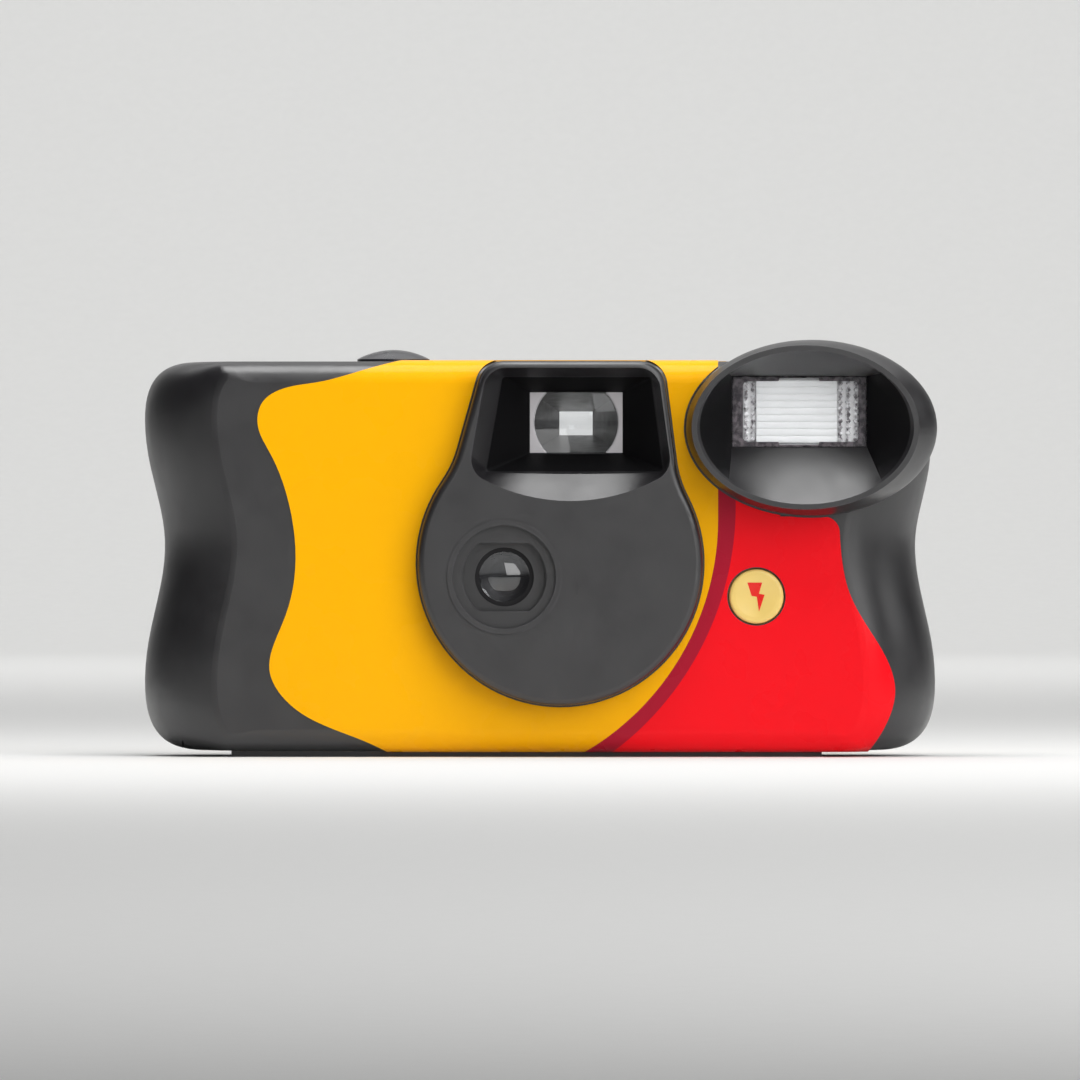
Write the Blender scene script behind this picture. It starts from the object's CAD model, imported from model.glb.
import math

import bmesh
import bpy
from mathutils import Matrix, Vector


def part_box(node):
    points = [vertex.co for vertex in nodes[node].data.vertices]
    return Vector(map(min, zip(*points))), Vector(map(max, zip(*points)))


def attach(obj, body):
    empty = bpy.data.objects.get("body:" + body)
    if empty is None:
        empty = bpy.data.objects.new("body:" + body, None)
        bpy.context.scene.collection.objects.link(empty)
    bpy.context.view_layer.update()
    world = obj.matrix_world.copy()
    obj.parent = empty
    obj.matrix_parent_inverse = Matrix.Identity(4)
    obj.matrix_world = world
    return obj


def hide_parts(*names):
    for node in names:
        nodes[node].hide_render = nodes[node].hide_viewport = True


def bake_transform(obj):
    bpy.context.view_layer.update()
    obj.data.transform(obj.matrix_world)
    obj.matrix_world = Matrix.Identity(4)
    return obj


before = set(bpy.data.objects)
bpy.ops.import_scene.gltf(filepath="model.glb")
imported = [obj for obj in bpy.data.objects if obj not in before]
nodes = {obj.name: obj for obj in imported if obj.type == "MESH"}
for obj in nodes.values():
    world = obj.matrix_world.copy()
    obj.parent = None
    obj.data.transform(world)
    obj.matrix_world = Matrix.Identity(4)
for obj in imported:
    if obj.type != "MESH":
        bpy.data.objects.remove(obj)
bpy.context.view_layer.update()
print("frame loaded:", len(nodes), "nodes")

mm = 0.001
weldGap = 0.002 * mm
rubbingTurn = (0.995, 0.9)


# shader maths written as expressions

class Wire:
    # one output socket that adds its own nodes when it is used in an expression

    def __init__(self, finish, socket):
        self.finish = finish
        self.socket = socket

    def maths(self, operation, *others):
        inputs = {0: self}
        for place, other in enumerate(others, 1):
            inputs[place] = other
        return self.finish.node("ShaderNodeMath", {"operation": operation}, inputs)

    def __add__(self, other):
        return self.maths("ADD", other)

    def __mul__(self, other):
        return self.maths("MULTIPLY", other)

    def __sub__(self, other):
        return self.maths("SUBTRACT", other)

    def __rsub__(self, other):
        return self.finish.node("ShaderNodeMath", {"operation": "SUBTRACT"}, {0: other, 1: self})

    def __truediv__(self, other):
        return self.maths("DIVIDE", other)

    def __pow__(self, other):
        return self.maths("POWER", other)


class Finish:
    # a material and the methods that add its nodes

    def __init__(self, name, colour, roughness, metallic=0.0, **sockets):
        self.material = bpy.data.materials.new(name)
        self.material.use_nodes = True
        self.tree = self.material.node_tree
        self.shader = self.tree.nodes["Principled BSDF"]
        self.put("Base Color", (*colour, 1.0))
        self.put("Roughness", roughness)
        self.put("Metallic", metallic)
        for socketName, value in sockets.items():
            self.put(socketName.replace("_", " "), value)
        self.place = self.node("ShaderNodeTexCoord", output="Object")

    def put(self, socketName, value):
        if isinstance(value, Wire):
            self.tree.links.new(value.socket, self.shader.inputs[socketName])
        else:
            self.shader.inputs[socketName].default_value = value

    def node(self, kind, settings=None, inputs=None, output=0):
        made = self.tree.nodes.new(kind)
        for name, value in (settings or {}).items():
            setattr(made, name, value)
        for key, value in (inputs or {}).items():
            if isinstance(value, Wire):
                self.tree.links.new(value.socket, made.inputs[key])
            else:
                made.inputs[key].default_value = value
        return Wire(self, made.outputs[output])

    def noise(self, size, detail=2.0, roughness=0.5, along=None):
        # noise whose grains are about size metres across
        at = self.place
        if along:
            at = self.node("ShaderNodeMapping", {}, {"Vector": at, "Scale": along})
        return self.node("ShaderNodeTexNoise", {}, {"Vector": at, "Scale": 1 / size, "Detail": detail,
                                                    "Roughness": roughness}, "Fac")

    def clamp(self, value, low, high, toLow=0.0, toHigh=1.0):
        return self.node("ShaderNodeMapRange", {}, {0: value, 1: low, 2: high, 3: toLow, 4: toHigh})

    def mix(self, factor, first, second):
        # colours are tuples or wires
        first = first if isinstance(first, Wire) else (*first, 1.0)
        second = second if isinstance(second, Wire) else (*second, 1.0)
        return self.node("ShaderNodeMix", {"data_type": "RGBA"}, {"Factor": factor, 6: first, 7: second}, 2)

    def bump(self, height, distance, strength):
        self.put("Normal", self.node("ShaderNodeBump", {}, {"Height": height, "Distance": distance,
                                                            "Strength": strength}))

    def normal(self):
        return self.node("ShaderNodeNewGeometry", {}, {}, "Normal")

    def edges(self, radius):
        # 0 on open faces, towards 1 on corners that rub
        softened = self.node("ShaderNodeBevel", {"samples": 4}, {"Radius": radius})
        turn = self.node("ShaderNodeVectorMath", {"operation": "DOT_PRODUCT"},
                         {0: softened, 1: self.normal()}, "Value")
        return self.clamp(turn, *rubbingTurn)

    def axis(self, letter):
        return self.node("ShaderNodeSeparateXYZ", {}, {0: self.place}, letter)

    def distance(self, centre):
        # how far a point is from a centre, seen from the front
        across = self.axis("X") - centre[0]
        upward = self.axis("Z") - centre[1]
        return (across * across + upward * upward) ** 0.5

    def plainShader(self, colour, roughness):
        shader = self.tree.nodes.new("ShaderNodeBsdfPrincipled")
        shader.inputs["Base Color"].default_value = (*colour, 1.0)
        shader.inputs["Roughness"].default_value = roughness
        return shader

    def blended(self, factor, first, second):
        both = self.tree.nodes.new("ShaderNodeMixShader")
        self.tree.links.new(factor.socket, both.inputs[0])
        self.tree.links.new(first, both.inputs[1])
        self.tree.links.new(second, both.inputs[2])
        return both.outputs[0]

    def surface(self, socket):
        self.tree.links.new(socket, self.tree.nodes["Material Output"].inputs["Surface"])


# moulded black case, slightly cloudy, fine spark-eroded grain, paler where the edges rub

caseLook = {"colour": (0.0062, 0.0056, 0.0070), "cloud": (0.0085, 0.0078, 0.0095), "cloudSize": 18 * mm,
            "worn": (0.05, 0.047, 0.055), "wornSize": 4 * mm, "wornShare": 0.6, "edge": 0.4 * mm,
            "grain": 0.22 * mm, "grainDepth": 0.008 * mm, "roughness": 0.36, "polishSize": 6 * mm,
            "shine": 1.0}


def mouldedBlack(name, look):
    finish = Finish(name, look["colour"], look["roughness"], Specular_IOR_Level=look["shine"])
    body = finish.mix(finish.noise(look["cloudSize"], 3.0), look["colour"], look["cloud"])
    patches = finish.clamp(finish.noise(look["wornSize"], 4.0), 0.42, 0.62)
    rubbed = finish.edges(look["edge"]) * patches
    finish.put("Base Color", finish.mix(rubbed * look["wornShare"], body, look["worn"]))
    finish.put("Roughness", finish.clamp(finish.noise(look["polishSize"], 4.0), 0.3, 0.7,
                                         look["roughness"] - 0.04, look["roughness"] + 0.06))
    finish.bump(finish.noise(look["grain"], 1.0), look["grainDepth"], 0.6)
    return finish


# the cover's finder funnel and the side walls of its flash hood are matt and darker

recessLook = {"colour": (0.0022, 0.0020, 0.0026), "roughness": 0.6, "shine": 0.15, "soft": 0.2 * mm,
              "mouthY": -17.3 * mm, "funnelTop": 57.7 * mm, "funnelLow": 42.4 * mm,
              "funnelSides": (-7.8 * mm, 17.4 * mm), "sideSlopes": (0.176, 0.137), "rimY": -22.1 * mm,
              "rimCentre": (39.4 * mm, 49.0 * mm), "rimHalf": (16.9 * mm, 12.2 * mm), "steep": (0.35, 0.6)}


def coverBlack(name, look, recess):
    finish = mouldedBlack(name, look)
    x, y, z = finish.axis("X"), finish.axis("Y"), finish.axis("Z")
    soft = recess["soft"]
    below = recess["funnelTop"] - z
    leftSide, rightSide = recess["funnelSides"]
    leftSlope, rightSlope = recess["sideSlopes"]
    left = finish.clamp(x + below * leftSlope, leftSide, leftSide + soft)
    right = finish.clamp(x - below * rightSlope, rightSide + soft, rightSide)
    funnel = (left * right * finish.clamp(y, recess["mouthY"], recess["mouthY"] + soft)
              * finish.clamp(z, recess["funnelLow"], recess["funnelLow"] + soft)
              * finish.clamp(below, 0.0, soft))
    across = (x - recess["rimCentre"][0]) / recess["rimHalf"][0]
    upward = (z - recess["rimCentre"][1]) / recess["rimHalf"][1]
    sideways = finish.node("ShaderNodeSeparateXYZ", {}, {0: finish.normal()}, "X").maths("ABSOLUTE")
    hood = (finish.clamp(across * across + upward * upward, 1.0, 0.97)
            * finish.clamp(y, recess["rimY"], recess["rimY"] + soft)
            * finish.clamp(sideways, *recess["steep"]))
    matt = finish.plainShader(recess["colour"], recess["roughness"])
    matt.inputs["Specular IOR Level"].default_value = recess["shine"]
    finish.surface(finish.blended(funnel.maths("MAXIMUM", hood), finish.shader.outputs[0], matt.outputs[0]))
    return finish


# printed label film with its dark red band, which is a ring about a point left of the lens

labelLook = {"yellow": (1.0, 0.475, 0.0), "bright": (0.94, 0.006, 0.014), "dark": (0.43, 0.010, 0.032),
             "bandCentre": (-16.6 * mm, 37.3 * mm), "bandRadius": 45.7 * mm, "bandSoft": 0.04 * mm,
             "roughness": 0.27, "polishSize": 9 * mm, "coat": 0.05, "shine": 0.12,
             "wave": 3.5 * mm, "waveDepth": 0.012 * mm}


def filmPrint(name, colour, look):
    finish = Finish(name, colour, look["roughness"], Coat_Weight=look["coat"], Coat_Roughness=0.1,
                    Specular_IOR_Level=look["shine"])
    finish.put("Roughness", finish.clamp(finish.noise(look["polishSize"], 3.0), 0.2, 0.8,
                                         look["roughness"] - 0.03, look["roughness"] + 0.05))
    finish.bump(finish.noise(look["wave"], 1.0), look["waveDepth"], 0.2)
    return finish


def yellowPrint(look):
    finish = filmPrint("yellow film print", look["yellow"], look)
    duller = tuple(0.93 * part for part in look["yellow"])
    finish.put("Base Color", finish.mix(finish.noise(0.02, 2.0) * 0.2, look["yellow"], duller))
    return finish.material


def redPrint(look):
    finish = filmPrint("red film print", look["bright"], look)
    outside = finish.clamp(finish.distance(look["bandCentre"]), look["bandRadius"] - look["bandSoft"],
                           look["bandRadius"] + look["bandSoft"])
    finish.put("Base Color", finish.mix(outside, look["dark"], look["bright"]))
    return finish.material


# plain finishes of the other pieces

def plastic(name, colour, roughness, grain=0.0003, depth=0.000008, **sockets):
    finish = Finish(name, colour, roughness, **sockets)
    darker = tuple(0.82 * part for part in colour)
    finish.put("Base Color", finish.mix(finish.noise(0.004, 3.0), darker, colour))
    finish.put("Roughness", finish.clamp(finish.noise(0.002, 3.0), 0.3, 0.7,
                                         roughness - 0.05, roughness + 0.06))
    finish.bump(finish.noise(grain, 1.0), depth, 0.5)
    return finish.material


def metal(name, colour, roughness, along=(1, 1, 1), depth=0.000004):
    finish = Finish(name, colour, roughness, metallic=1.0)
    lines = finish.noise(0.0006, 3.0, 0.6, along)
    finish.put("Roughness", finish.clamp(lines, 0.3, 0.7, roughness * 0.75, roughness * 1.3))
    finish.put("Base Color", finish.mix(lines, tuple(0.86 * part for part in colour), colour))
    finish.bump(lines, depth, 0.4)
    return finish.material


def lightPasses(finish, surface):
    # lamps shine through clear pieces, which otherwise shade what lies behind them
    through = finish.tree.nodes.new("ShaderNodeBsdfTransparent")
    shadowRay = finish.node("ShaderNodeLightPath", {}, {}, "Is Shadow Ray")
    finish.surface(finish.blended(shadowRay, surface, through.outputs[0]))


def clear(name, colour, roughness=0.02, ior=1.49, **sockets):
    finish = Finish(name, colour, roughness, Transmission_Weight=1.0, IOR=ior, **sockets)
    finish.put("Roughness", finish.clamp(finish.noise(0.005, 2.0), 0.4, 0.8, roughness, roughness + 0.02))
    lightPasses(finish, finish.shader.outputs[0])
    return finish.material


def crinkled(name, colour, dark, roughness):
    finish = Finish(name, colour, roughness)
    folds = finish.clamp(finish.noise(0.0009, 3.0, 0.6, (1.3, 1, 1)), 0.40, 0.60)
    finish.put("Base Color", finish.mix(folds, dark, colour))
    return finish.material


# finder window: clear inside its round lens, frosted in the corners

finderLook = {"centre": (5.4 * mm, 49.8 * mm), "radius": 6.35 * mm, "soft": 0.05 * mm,
              "frost": (0.62, 0.60, 0.62), "frostRoughness": 0.35, "grain": 0.4 * mm, "grainDepth": 0.04 * mm}


def finderWindow(look):
    finish = Finish("finder window", (0.98, 0.99, 1.0), 0.02, Transmission_Weight=1.0, IOR=1.49)
    corner = finish.clamp(finish.distance(look["centre"]), look["radius"] - look["soft"],
                          look["radius"] + look["soft"])
    frosted = finish.plainShader(look["frost"], look["frostRoughness"])
    grain = finish.node("ShaderNodeBump", {}, {"Height": finish.noise(look["grain"], 2.0),
                                               "Distance": look["grainDepth"]})
    finish.tree.links.new(grain.socket, frosted.inputs["Normal"])
    lightPasses(finish, finish.blended(corner, finish.shader.outputs[0], frosted.outputs[0]))
    return finish.material


finishes = {
    "caseBlack": mouldedBlack("case black", caseLook).material,
    "coverBlack": coverBlack("front cover black", caseLook, recessLook).material,
    "labelYellow": yellowPrint(labelLook),
    "labelRed": redPrint(labelLook),
    "buttonBlack": plastic("button black", (0.02, 0.02, 0.026), 0.3, Specular_IOR_Level=1.0),
    "flashButtonYellow": plastic("flash button yellow", (1.0, 0.73, 0.22), 0.22),
    "boltRed": plastic("bolt print red", (0.93, 0.012, 0.004), 0.3),
    "frameBlack": plastic("frame black", (0.012, 0.012, 0.013), 0.42, 0.0003, 0.000003),
    "barrelBlack": plastic("lens barrel black", (0.007, 0.006, 0.008), 0.34, 0.0003, 0.000002,
                           Specular_IOR_Level=0.35),
    "clearPlastic": clear("clear plastic", (0.98, 0.99, 1.0)),
    "lensPlastic": clear("coated lens", (0.97, 0.98, 1.0), 0.01, 1.6, Coat_Weight=1.0, Coat_Roughness=0.02),
    "finderClear": finderWindow(finderLook),
    "ribWhite": plastic("rib diffuser", (0.95, 0.95, 0.95), 0.18, 0.002, 0.000001),
    "prismSilver": crinkled("prism silver", (0.92, 0.91, 0.92), (0.17, 0.155, 0.165), 0.2),
    "paneWhite": plastic("pane white", (0.93, 0.92, 0.93), 0.2, 0.002, 0.000001),
    "gasketSmoke": crinkled("gasket smoke", (0.13, 0.11, 0.12), (0.03, 0.025, 0.03), 0.25),
    "lampGlass": clear("lamp glass", (0.98, 0.98, 1.0), 0.01, 1.5),
    "amberPlastic": clear("amber plastic", (1.0, 0.32, 0.04), 0.08),
    "mirror": metal("reflector metal", (0.9, 0.9, 0.91), 0.12),
    "cassetteMetal": metal("cassette metal", (0.55, 0.56, 0.58), 0.34, (1, 1, 12)),
    "capMetal": plastic("cap black lacquer", (0.03, 0.03, 0.032), 0.25),
    "filmBase": plastic("film base", (0.12, 0.035, 0.02), 0.18),
    "gearWhite": plastic("gear white", (0.7, 0.68, 0.62), 0.4),
    "dialWhite": plastic("dial white", (0.8, 0.8, 0.76), 0.45),
    "dialInk": plastic("dial ink", (0.02, 0.02, 0.02), 0.5),
    "leverBlack": plastic("lever black", (0.05, 0.05, 0.052), 0.42),
    "springSteel": metal("spring steel", (0.62, 0.62, 0.63), 0.24, (1, 1, 6)),
    "bladeBlack": metal("blackened blade", (0.05, 0.05, 0.052), 0.42),
    "boardGreen": plastic("board green", (0.04, 0.17, 0.06), 0.3),
    "sleeveBlack": plastic("capacitor sleeve", (0.02, 0.024, 0.05), 0.22),
    "copper": metal("coil copper", (0.72, 0.32, 0.14), 0.3, (1, 1, 14)),
    "resistorTan": plastic("resistor tan", (0.55, 0.38, 0.2), 0.42),
    "batteryBlack": plastic("battery sleeve", (0.05, 0.05, 0.06), 0.24),
}

nodeFinish = {
    "front_cover": "coverBlack", "rear_cover": "caseBlack", "cassette_door": "caseBlack",
    "label_yellow": "labelYellow", "label_red": "labelRed",
    "shutter_button": "buttonBlack", "button_spring": "springSteel", "flash_button": "flashButtonYellow",
    "counter_window": "clearPlastic", "ready_light_lens": "amberPlastic", "taking_lens": "lensPlastic",
    "lens_holder": "barrelBlack", "lens_retainer": "barrelBlack", "finder_front_lens": "finderClear",
    "finder_eyepiece": "clearPlastic", "main_frame": "frameBlack", "mechanism_plate": "leverBlack",
    "cassette_shell": "cassetteMetal", "cassette_end_caps": "capMetal", "cassette_spool": "leverBlack",
    "film_strip": "filmBase", "film_roll": "filmBase", "supply_spool": "leverBlack",
    "thumbwheel": "caseBlack", "sprocket_wheel": "leverBlack", "shutter_cam": "gearWhite",
    "counter_wheel": "dialWhite", "high_energy_lever": "gearWhite", "metering_lever": "leverBlack",
    "lever_spring": "springSteel", "metering_spring": "springSteel", "shutter_blade": "bladeBlack",
    "shutter_spring": "springSteel", "flash_lens": "clearPlastic", "flash_reflector": "mirror",
    "flash_tube": "lampGlass", "tube_leads": "springSteel", "circuit_board": "boardGreen",
    "flash_capacitor": "sleeveBlack", "flash_transformer": "copper", "trigger_coil": "copper",
    "resistors": "resistorTan", "flash_switch_leaf": "springSteel", "ready_lamp": "lampGlass",
    "sync_contacts": "springSteel", "battery": "batteryBlack", "positive_contact": "springSteel",
    "negative_spring": "springSteel",
}
for nodeName, finishName in nodeFinish.items():
    for slot in nodes[nodeName].material_slots:
        slot.material = finishes[finishName]
print("finishes on", len(nodeFinish), "nodes")


# a made piece rides on its body and takes its finish from a slot of the record

def addPiece(name, mesh, finishName, body):
    mesh.name = name
    mesh.materials.clear()
    mesh.materials.append(finishes[finishName])
    piece = bpy.data.objects.new(name, mesh)
    bpy.context.collection.objects.link(piece)
    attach(piece, body)


def grow(name, tree, values, finishName, body):
    # runs a geometry tree on an empty mesh and keeps the plain mesh that it makes
    seed = bpy.data.objects.new(name + "Seed", bpy.data.meshes.new(name + "Seed"))
    bpy.context.collection.objects.link(seed)
    modifier = seed.modifiers.new("tree", "NODES")
    modifier.node_group = tree
    sockets = {item.name: item.identifier for item in tree.interface.items_tree if item.in_out == "INPUT"}
    for socketName, value in values.items():
        modifier[sockets[socketName]] = value
    modifier[sockets["Finish"]] = finishes[finishName]
    bpy.context.view_layer.update()
    made = seed.evaluated_get(bpy.context.evaluated_depsgraph_get())
    mesh = bpy.data.meshes.new_from_object(made)
    seed.modifiers.remove(modifier)
    bpy.data.objects.remove(seed)
    addPiece(name, mesh, finishName, body)


class Tree:
    # a geometry tree with named inputs

    def __init__(self, name, **inputs):
        self.tree = bpy.data.node_groups.new(name, "GeometryNodeTree")
        self.tree.interface.new_socket("Geometry", in_out="OUTPUT", socket_type="NodeSocketGeometry")
        kinds = {"float": "NodeSocketFloat", "int": "NodeSocketInt", "vector": "NodeSocketVector",
                 "material": "NodeSocketMaterial"}
        for inputName, kind in inputs.items():
            self.tree.interface.new_socket(inputName, in_out="INPUT", socket_type=kinds[kind])
        self.into = self.tree.nodes.new("NodeGroupInput")
        self.out = self.tree.nodes.new("NodeGroupOutput")

    def node(self, kind, settings=None, inputs=None):
        made = self.tree.nodes.new(kind)
        for key, value in (settings or {}).items():
            setattr(made, key, value)
        for key, value in (inputs or {}).items():
            if isinstance(value, bpy.types.NodeSocket):
                self.tree.links.new(value, made.inputs[key])
            else:
                made.inputs[key].default_value = value
        return made

    def close(self, geometry):
        real = self.node("GeometryNodeRealizeInstances", {}, {0: geometry})
        painted = self.node("GeometryNodeSetMaterial", {}, {0: real.outputs[0],
                                                            2: self.into.outputs["Finish"]})
        self.tree.links.new(painted.outputs[0], self.out.inputs[0])
        return self.tree


# ribs and prisms moulded behind the flash window

flashPane = {"ribLeft": 32.2 * mm, "ribRight": 44.2 * mm, "paneLeft": 30.2 * mm, "paneRight": 47.5 * mm,
             "low": 46.75 * mm, "high": 56.1 * mm, "frontY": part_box("flash_lens")[1][1] + 0.04 * mm,
             "ribCount": 9, "ribDepth": 0.22 * mm, "ribFill": 0.52, "prismPitch": 0.95 * mm,
             "prismDepth": 0.55 * mm, "prismFill": 0.62, "turnLeast": (1.35, -0.2, 0.6),
             "turnMost": (1.8, 0.2, 1.0), "seedLeft": 3, "seedRight": 8}


def ribTree():
    tree = Tree("ribRow", Start="vector", Step="vector", Length="float", Radius="float", Flatten="float",
                Count="int", Finish="material")
    inputs = tree.into.outputs
    line = tree.node("GeometryNodeMeshLine", {}, {"Count": inputs["Count"], "Start Location": inputs["Start"],
                                                  "Offset": inputs["Step"]})
    rib = tree.node("GeometryNodeMeshCylinder", {}, {"Vertices": 20, "Radius": inputs["Radius"],
                                                     "Depth": inputs["Length"]})
    turned = tree.node("GeometryNodeTransform", {}, {0: rib.outputs[0], "Rotation": (0, math.pi / 2, 0)})
    squashed = tree.node("ShaderNodeCombineXYZ", {}, {"X": 1.0, "Y": inputs["Flatten"], "Z": 1.0})
    flat = tree.node("GeometryNodeTransform", {}, {0: turned.outputs[0], "Scale": squashed.outputs[0]})
    placed = tree.node("GeometryNodeInstanceOnPoints", {}, {0: line.outputs[0], "Instance": flat.outputs[0]})
    return tree.close(placed.outputs[0])


def prismTree(turnLeast, turnMost):
    tree = Tree("prismField", Centre="vector", Width="float", Height="float", Columns="int", Rows="int",
                Size="float", Depth="float", Seed="int", Finish="material")
    inputs = tree.into.outputs
    field = tree.node("GeometryNodeMeshGrid", {}, {"Size X": inputs["Width"], "Size Y": inputs["Height"],
                                                   "Vertices X": inputs["Columns"],
                                                   "Vertices Y": inputs["Rows"]})
    upright = tree.node("GeometryNodeTransform", {}, {0: field.outputs[0], "Rotation": (math.pi / 2, 0, 0),
                                                      "Translation": inputs["Centre"]})
    prism = tree.node("GeometryNodeMeshCone", {}, {"Vertices": 4, "Radius Top": 0.0,
                                                   "Radius Bottom": inputs["Size"], "Depth": inputs["Depth"]})
    turn = tree.node("FunctionNodeRandomValue", {"data_type": "FLOAT_VECTOR"},
                     {0: turnLeast, 1: turnMost, "Seed": inputs["Seed"]})
    placed = tree.node("GeometryNodeInstanceOnPoints", {}, {0: upright.outputs[0],
                                                            "Instance": prism.outputs[0],
                                                            "Rotation": turn.outputs[0]})
    return tree.close(placed.outputs[0])


def flashRibs(size):
    pitch = (size["high"] - size["low"]) / size["ribCount"]
    radius = pitch * size["ribFill"]
    values = {"Start": ((size["ribLeft"] + size["ribRight"]) / 2, size["frontY"] + size["ribDepth"],
                        size["low"] + pitch / 2),
              "Step": (0, 0, pitch), "Length": size["ribRight"] - size["ribLeft"], "Radius": radius,
              "Flatten": size["ribDepth"] / radius, "Count": size["ribCount"]}
    grow("flashRibs", ribTree(), values, "ribWhite", "camera_body")


def flashPrisms(name, size, left, right, seed):
    pitch = size["prismPitch"]
    width = right - left - pitch
    height = size["high"] - size["low"] - pitch
    centre = ((left + right) / 2, size["frontY"] + size["prismDepth"], (size["low"] + size["high"]) / 2)
    values = {"Centre": centre, "Width": width, "Height": height,
              "Columns": max(2, round(width / pitch) + 1), "Rows": round(height / pitch) + 1,
              "Size": pitch * size["prismFill"], "Depth": size["prismDepth"], "Seed": seed}
    tree = prismTree(size["turnLeast"], size["turnMost"])
    grow(name, tree, values, "prismSilver", "camera_body")


flashRibs(flashPane)
flashPrisms("flashPrismsLeft", flashPane, flashPane["paneLeft"], flashPane["ribLeft"], flashPane["seedLeft"])
flashPrisms("flashPrismsRight", flashPane, flashPane["ribRight"], flashPane["paneRight"],
            flashPane["seedRight"])
print("flash ribs and prisms grown")


# smoked frame round the bright pane, and the white plate behind it

gasketShape = {"outer": (28.65 * mm, 48.55 * mm, 46.2 * mm, 56.6 * mm),
               "inner": (30.2 * mm, 47.4 * mm, 46.9 * mm, 55.95 * mm), "corner": 0.8 * mm,
               "notch": (35.5 * mm, 41.6 * mm), "notchDepth": 0.45 * mm, "notchSlope": 0.15 * mm,
               "frontY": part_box("flash_lens")[1][1] + 0.02 * mm, "thickness": 0.3 * mm,
               "plateBack": 0.85 * mm}


def flatShape(loops, thickness):
    # a flat plate from closed outlines, the later ones holes, standing in the X-Z plane
    line = bpy.data.curves.new("outline", "CURVE")
    line.dimensions = "2D"
    line.fill_mode = "BOTH"
    line.extrude = thickness / 2
    for loop in loops:
        spline = line.splines.new("POLY")
        spline.points.add(len(loop) - 1)
        for point, (across, upward) in zip(spline.points, loop):
            point.co = (across, upward, 0, 1)
        spline.use_cyclic_u = True
    holder = bpy.data.objects.new("outline", line)
    bpy.context.collection.objects.link(holder)
    bpy.context.view_layer.update()
    mesh = bpy.data.meshes.new_from_object(holder.evaluated_get(bpy.context.evaluated_depsgraph_get()))
    bpy.data.objects.remove(holder)
    mesh.transform(Matrix.Rotation(math.pi / 2, 4, "X"))
    return mesh


def roundedLoop(left, right, low, high, radius, steps=6):
    loop = []
    for turn, (x, z) in enumerate(((right - radius, high - radius), (left + radius, high - radius),
                                   (left + radius, low + radius), (right - radius, low + radius))):
        for step in range(steps + 1):
            angle = math.pi / 2 * (turn + step / steps)
            loop.append((x + radius * math.cos(angle), z + radius * math.sin(angle)))
    return loop


def weldShape(mesh):
    shape = bmesh.new()
    shape.from_mesh(mesh)
    bmesh.ops.remove_doubles(shape, verts=shape.verts, dist=weldGap)
    bmesh.ops.recalc_face_normals(shape, faces=shape.faces)
    shape.to_mesh(mesh)
    shape.free()
    return mesh


def notchedLoop(size):
    inner = roundedLoop(*size["inner"], size["corner"])
    high, low = size["inner"][3], size["inner"][2]
    notchLeft, notchRight = size["notch"]
    # the notches stand between the corners of the top and of the low side
    depth, slope = size["notchDepth"], size["notchSlope"]
    topNotch = [(notchRight, high), (notchRight - slope, high + depth), (notchLeft + slope, high + depth),
                (notchLeft, high)]
    lowNotch = [(notchLeft, low), (notchLeft + slope, low - depth), (notchRight - slope, low - depth),
                (notchRight, low)]
    quarter = len(inner) // 4
    return inner[:quarter] + topNotch + inner[quarter:3 * quarter] + lowNotch + inner[3 * quarter:]


def flashGasket(size):
    left, right, low, high = size["outer"]
    outer = [(left, low), (right, low), (right, high), (left, high)]
    mesh = flatShape((outer, notchedLoop(size)), size["thickness"])
    mesh.transform(Matrix.Translation((0, size["frontY"] + size["thickness"] / 2, 0)))
    addPiece("flashGasket", weldShape(mesh), "gasketSmoke", "camera_body")


def flashPaneBack(size):
    # white plate that the ribs and prisms stand on, seen bare in the notches
    mesh = flatShape((notchedLoop(size),), size["thickness"])
    mesh.transform(Matrix.Translation((0, size["frontY"] + size["plateBack"], 0)))
    addPiece("flashPaneBack", weldShape(mesh), "paneWhite", "camera_body")


flashGasket(gasketShape)
flashPaneBack(gasketShape)


# red bolt printed in the dish of the flash button

boltPrint = {"centre": (32.2 * mm, 23.9 * mm), "frontY": -16.0 * mm, "dishRadius": 3.1 * mm,
             "dishDepth": 0.2 * mm, "proud": 0.03 * mm, "sunk": 0.02 * mm,
             "outline": ((-1.35, 2.07), (0.85, 2.07), (0.38, 0.41), (1.22, 0.25), (0.38, -2.26),
                         (0.06, -0.06), (-0.72, 0.09))}


def buttonBolt(size):
    ball = (size["dishRadius"] ** 2 + size["dishDepth"] ** 2) / (2 * size["dishDepth"])
    x, z = size["centre"]
    outline = [(across * mm, upward * mm) for across, upward in size["outline"]]
    mesh = flatShape([outline], size["proud"] + size["sunk"])
    shape = bmesh.new()
    shape.from_mesh(mesh)
    bmesh.ops.remove_doubles(shape, verts=shape.verts, dist=weldGap)
    bmesh.ops.triangulate(shape, faces=shape.faces)
    bmesh.ops.subdivide_edges(shape, edges=shape.edges, cuts=2)
    for point in shape.verts:
        reach = point.co.x ** 2 + point.co.z ** 2
        dish = size["frontY"] + size["dishDepth"] - ball + math.sqrt(ball ** 2 - reach)
        point.co.y += dish + (size["sunk"] - size["proud"]) / 2
        point.co.x += x
        point.co.z += z
    bmesh.ops.recalc_face_normals(shape, faces=shape.faces)
    shape.to_mesh(mesh)
    shape.free()
    addPiece("buttonBolt", mesh, "boltRed", "flash_switch")


buttonBolt(boltPrint)


# the spring under the shutter button is pressed flat as the button goes down

def pressedSpring(node):
    mesh = nodes[node].data.copy()
    mesh.transform(nodes[node].matrix_world)
    mesh.materials.clear()
    mesh.materials.append(finishes["springSteel"])
    piece = bpy.data.objects.new("pressedSpring", weldShape(mesh))
    bpy.context.collection.objects.link(piece)
    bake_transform(piece)
    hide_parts(node)


pressedSpring("button_spring")


# numbers and ticks on the exposure dial, read through its window from behind the camera

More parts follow.
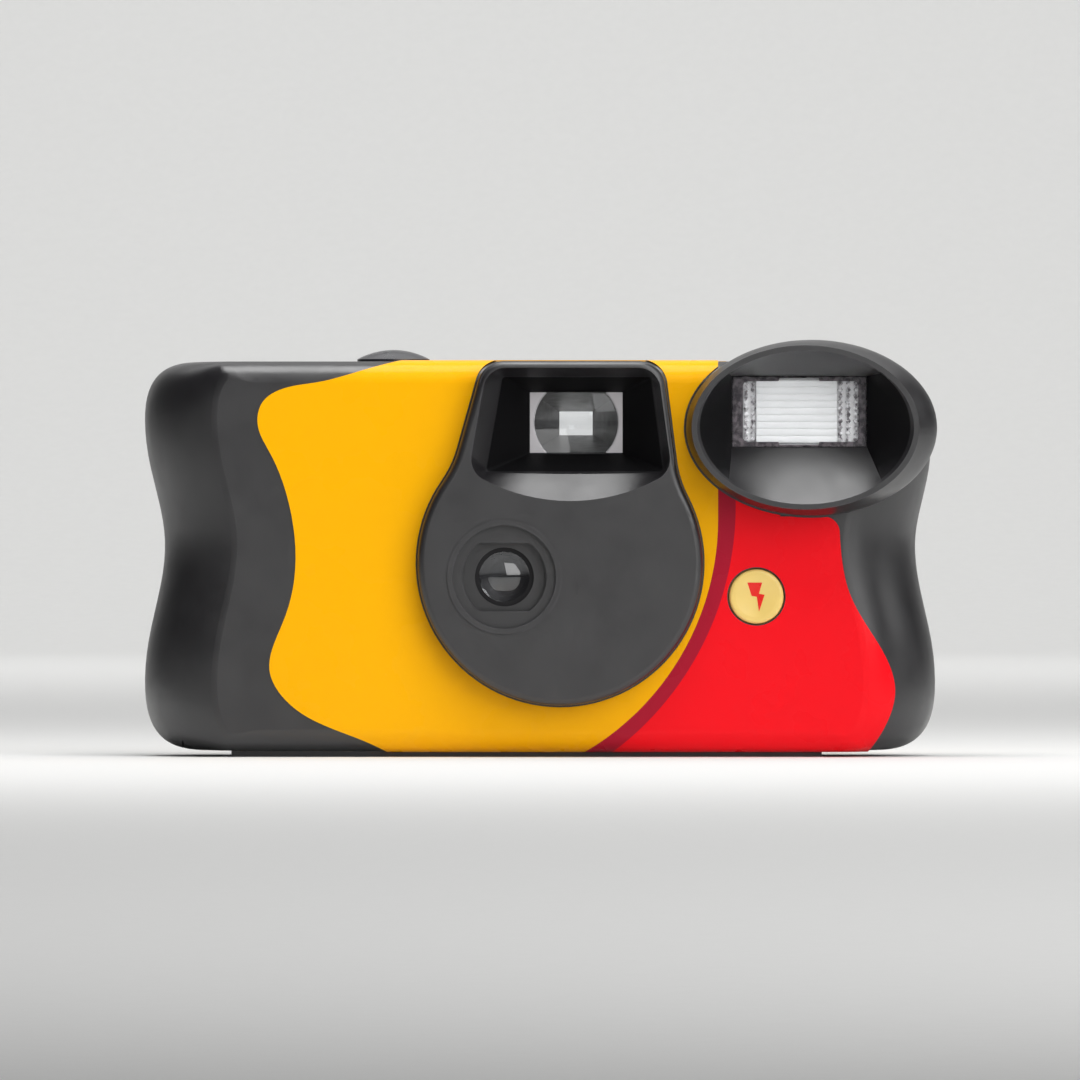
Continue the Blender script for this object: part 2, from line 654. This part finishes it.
dialPrint = {"post": (-11.5 * mm, 3.5 * mm), "numberRadius": 4.6 * mm, "tickInner": 5.7 * mm,
             "tickOuter": 6.3 * mm, "tickWidth": 0.34 * mm, "height": 2.1 * mm, "bold": 0.08 * mm,
             "thickness": 0.03 * mm, "places": 30, "every": 3}


def dialNumbers(size):
    x, y = size["post"]
    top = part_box("counter_wheel")[1][2]
    whole = bmesh.new()
    for place in range(size["places"]):
        angle = math.pi / 2 + 2 * math.pi * place / size["places"]
        spin = Matrix.Translation((x, y, top)) @ Matrix.Rotation(angle + math.pi / 2, 4, "Z")
        tick = bmesh.ops.create_cube(whole, size=1.0)["verts"]
        tickLength = size["tickOuter"] - size["tickInner"]
        placeAt = Matrix.Translation((0, -(size["tickOuter"] + size["tickInner"]) / 2, 0))
        shrink = Matrix.Diagonal((size["tickWidth"], tickLength, size["thickness"], 1))
        bmesh.ops.transform(whole, matrix=spin @ placeAt @ shrink, verts=tick)
        if place % size["every"]:
            continue
        words = bpy.data.curves.new("number", "FONT")
        words.body = str(place)
        words.size = size["height"]
        words.align_x = "CENTER"
        words.align_y = "CENTER"
        words.extrude = size["thickness"] / 2
        words.offset = size["bold"]
        holder = bpy.data.objects.new("number", words)
        bpy.context.collection.objects.link(holder)
        bpy.context.view_layer.update()
        mesh = bpy.data.meshes.new_from_object(holder.evaluated_get(bpy.context.evaluated_depsgraph_get()))
        bpy.data.objects.remove(holder)
        mesh.transform(spin @ Matrix.Translation((0, -size["numberRadius"], 0)))
        whole.from_mesh(mesh)
        bpy.data.meshes.remove(mesh)
    mesh = bpy.data.meshes.new("dialNumbers")
    whole.to_mesh(mesh)
    whole.free()
    addPiece("dialNumbers", weldShape(mesh), "dialInk", "counter")


dialNumbers(dialPrint)
print("gasket, bolt and dial numbers made")


# studio: a pale paper floor that curves up into a backdrop, a dim room and soft boxes

studio = {"half": 3.0, "front": -4.0, "rear": 2.9, "bend": 0.6, "height": 1.8, "steps": 24,
          "colour": (0.80, 0.80, 0.79), "room": (0.92, 0.92, 0.93), "roomLevel": 0.06}


def studioPaper(look):
    flatEnd = look["rear"] - look["bend"]
    profile = [(look["front"], 0.0)]
    for step in range(look["steps"] + 1):
        turn = math.pi / 2 * step / look["steps"]
        profile.append((flatEnd + look["bend"] * math.sin(turn), look["bend"] * (1 - math.cos(turn))))
    profile.append((look["rear"], look["height"]))
    shape = bmesh.new()
    rows = [[shape.verts.new((side, y, z)) for y, z in profile] for side in (-look["half"], look["half"])]
    for step in range(len(profile) - 1):
        shape.faces.new((rows[0][step], rows[1][step], rows[1][step + 1], rows[0][step + 1]))
    mesh = bpy.data.meshes.new("studioPaper")
    shape.to_mesh(mesh)
    shape.free()
    mesh.shade_smooth()
    paper = bpy.data.objects.new("studioPaper", mesh)
    bpy.context.collection.objects.link(paper)
    finish = Finish("studio paper", look["colour"], 0.9)
    duller = tuple(0.96 * part for part in look["colour"])
    finish.put("Base Color", finish.mix(finish.noise(0.003, 3.0), duller, look["colour"]))
    mesh.materials.append(finish.material)


def softBox(name, at, towards, width, height, brightness):
    # brightness is what a mirror would show
    lamp = bpy.data.lights.new(name, "AREA")
    lamp.shape = "RECTANGLE"
    lamp.size = width
    lamp.size_y = height
    lamp.energy = brightness * math.pi * width * height
    holder = bpy.data.objects.new(name, lamp)
    holder.location = at
    holder.rotation_euler = (Vector(towards) - Vector(at)).to_track_quat("-Z", "Y").to_euler()
    holder.visible_camera = False
    bpy.context.collection.objects.link(holder)


studioPaper(studio)
middle = (0, 0, 0.03)
softBox("topBox", (0.0, -0.10, 0.50), middle, 0.34, 0.36, 5.8)
softBox("keyBox", (0.62, -1.10, 0.66), middle, 1.25, 1.10, 2.85)
softBox("rightBox", (0.62, 0.02, 0.30), middle, 0.30, 0.34, 1.8)
softBox("floorBox", (0, 1.05, 1.15), (0, 1.25, 0.0), 2.20, 1.30, 1.15)
softBox("backdropBox", (0, 1.70, 1.40), (0, 2.70, 0.25), 1.60, 0.60, 4.9)

world = bpy.data.worlds.new("studio")
bpy.context.scene.world = world
world.use_nodes = True
world.node_tree.nodes["Background"].inputs[0].default_value = (*studio["room"], 1)
world.node_tree.nodes["Background"].inputs[1].default_value = studio["roomLevel"]
print("studio set")


# camera straight on, far off, so that front and outline share a scale

view = {"distance": 2500 * mm, "frontY": -15.5 * mm, "height": 32.3 * mm, "across": 160.7 * mm,
        "sensor": 36, "nearest": 10 * mm}

lensData = bpy.data.cameras.new("camera")
lensData.sensor_width = view["sensor"]
lensData.lens = view["sensor"] * view["distance"] / view["across"]
lensData.clip_start = view["nearest"]
camera = bpy.data.objects.new("camera", lensData)
camera.location = (0, view["frontY"] - view["distance"], view["height"])
camera.rotation_euler = (math.pi / 2, 0, 0)
bpy.context.collection.objects.link(camera)
bpy.context.scene.camera = camera
bpy.context.scene.view_settings.view_transform = "Standard"
